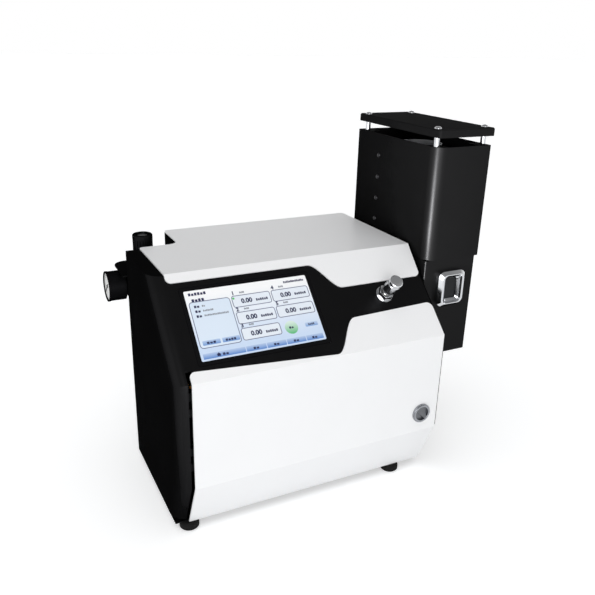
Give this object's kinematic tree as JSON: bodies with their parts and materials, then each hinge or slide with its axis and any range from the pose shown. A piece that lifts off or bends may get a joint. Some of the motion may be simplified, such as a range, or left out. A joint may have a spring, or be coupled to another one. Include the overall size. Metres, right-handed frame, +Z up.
{
  "type": "flame photometer",
  "caption": "Bench flame photometer with a sloped touch display, hinged front door, fuel valve, burner tower under a raised chimney cap, and a rear air regulator.",
  "frame": {"origin": "centre of the object's bounding box in plan, on the bench under its feet", "axes": "+X to the user's right towards the burner tower, +Y back from the front door, +Z up"},
  "size_m": [0.462, 0.2986, 0.4587],
  "materials": {
    "black_paint": "satin",
    "white_paint": "satin",
    "chrome": "polished",
    "stainless": "brushed",
    "zinc_sheet": "satin",
    "brass": "satin",
    "foot_rubber": "matte",
    "display": "gloss",
    "clear_glass": "polished",
    "filter_glass": "polished",
    "board": "satin",
    "white_polymer": "satin",
    "black_plastic": "satin",
    "dial_face": "matte",
    "needle_red": "satin"
  },
  "bodies": {
    "instrument": {"housing_frame": "black_paint", "base_pan": "black_paint", "rear_panel": "black_paint", "top_cover": "white_paint", "frame_hinge_leaves": "stainless", "hinge_pins": "stainless", "feet": "foot_rubber", "touch_glass": "display", "lcd_module": "zinc_sheet", "display_bracket": "zinc_sheet", "valve_body": "brass", "valve_nut": "chrome", "burner_housing": "black_paint", "chimney_shell": "black_paint", "chimney_cap": "black_paint", "cap_posts": "chrome", "cap_screws": "chrome", "side_screws": "stainless", "window_bezel": "chrome", "window_glass": "clear_glass", "heat_liner": "stainless", "burner_stem": "stainless", "burner_head": "stainless", "igniter": "white_polymer", "spray_chamber": "white_polymer", "nebulizer": "stainless", "drain_trap": "white_polymer", "optics_shelf": "zinc_sheet", "filter_block": "black_plastic", "lens_tube": "black_plastic", "collector_lens": "clear_glass", "colour_filters": "filter_glass", "detector_board": "board", "control_board": "board", "power_supply": "zinc_sheet", "fuel_solenoid": "brass", "ignition_coil": "black_plastic", "mains_inlet": "black_plastic", "switch_bezel": "black_plastic", "fan_frame": "black_plastic", "fan_guard": "chrome", "gas_nipples": "brass", "regulator_bracket": "black_paint", "regulator_body": "black_paint", "regulator_bonnet": "black_plastic", "regulator_bowl": "black_plastic", "gauge_case": "black_plastic", "gauge_dial": "dial_face"},
    "door": {"front_door": "white_paint", "door_hinge_leaves": "stainless", "latch_ring": "chrome"},
    "latch": {"latch_plug": "chrome", "latch_cam": "stainless"},
    "fuel_valve": {"valve_stem": "stainless", "valve_knob": "chrome"},
    "spindle": {"regulator_spindle": "stainless"},
    "adjusting_knob": {"regulator_knob": "black_plastic"},
    "power_rocker": {"rocker": "black_plastic"},
    "fan": {"fan_rotor": "black_plastic"},
    "needle": {"gauge_needle": "needle_red"}
  },
  "joints": [
    {"name": "door_hinge", "type": "hinge", "parent": "instrument", "child": "door", "pos_m": [-0.1905, -0.14095, 0.14], "axis": [0, 0, -1], "range_deg": [0, 100]},
    {"name": "latch_turn", "type": "hinge", "parent": "door", "child": "latch", "pos_m": [0.114, -0.14575, 0.103], "axis": [0, 1, 0], "range_deg": [-45, 45]},
    {"name": "fuel_valve_turn", "type": "hinge", "parent": "instrument", "child": "fuel_valve", "pos_m": [0.077, -0.09683, 0.25724], "axis": [0, -0.6947, 0.7193], "range_deg": [0, 720]},
    {"name": "regulator_turn", "type": "hinge", "parent": "instrument", "child": "spindle", "pos_m": [-0.18, 0.09025, 0.29], "axis": [0, 0, 1], "range_deg": [0, 720]},
    {"name": "regulator_lift", "type": "slide", "parent": "spindle", "child": "adjusting_knob", "axis": [0, 0, 1], "range_m": [0, 0.003]},
    {"name": "power_switch", "type": "hinge", "parent": "instrument", "child": "power_rocker", "pos_m": [0.057, 0.12195, 0.06], "axis": [-1, 0, 0], "range_deg": [0, 20]},
    {"name": "fan_spin", "type": "hinge", "parent": "instrument", "child": "fan", "pos_m": [-0.061, 0.11125, 0.2], "axis": [0, 1, 0], "continuous": true},
    {"name": "gauge_turn", "type": "hinge", "parent": "instrument", "child": "needle", "pos_m": [-0.227, 0.09025, 0.246], "axis": [1, 0, 0], "range_deg": [0, 270], "stiffness_Nm_per_rad": 0.0005}
  ]
}
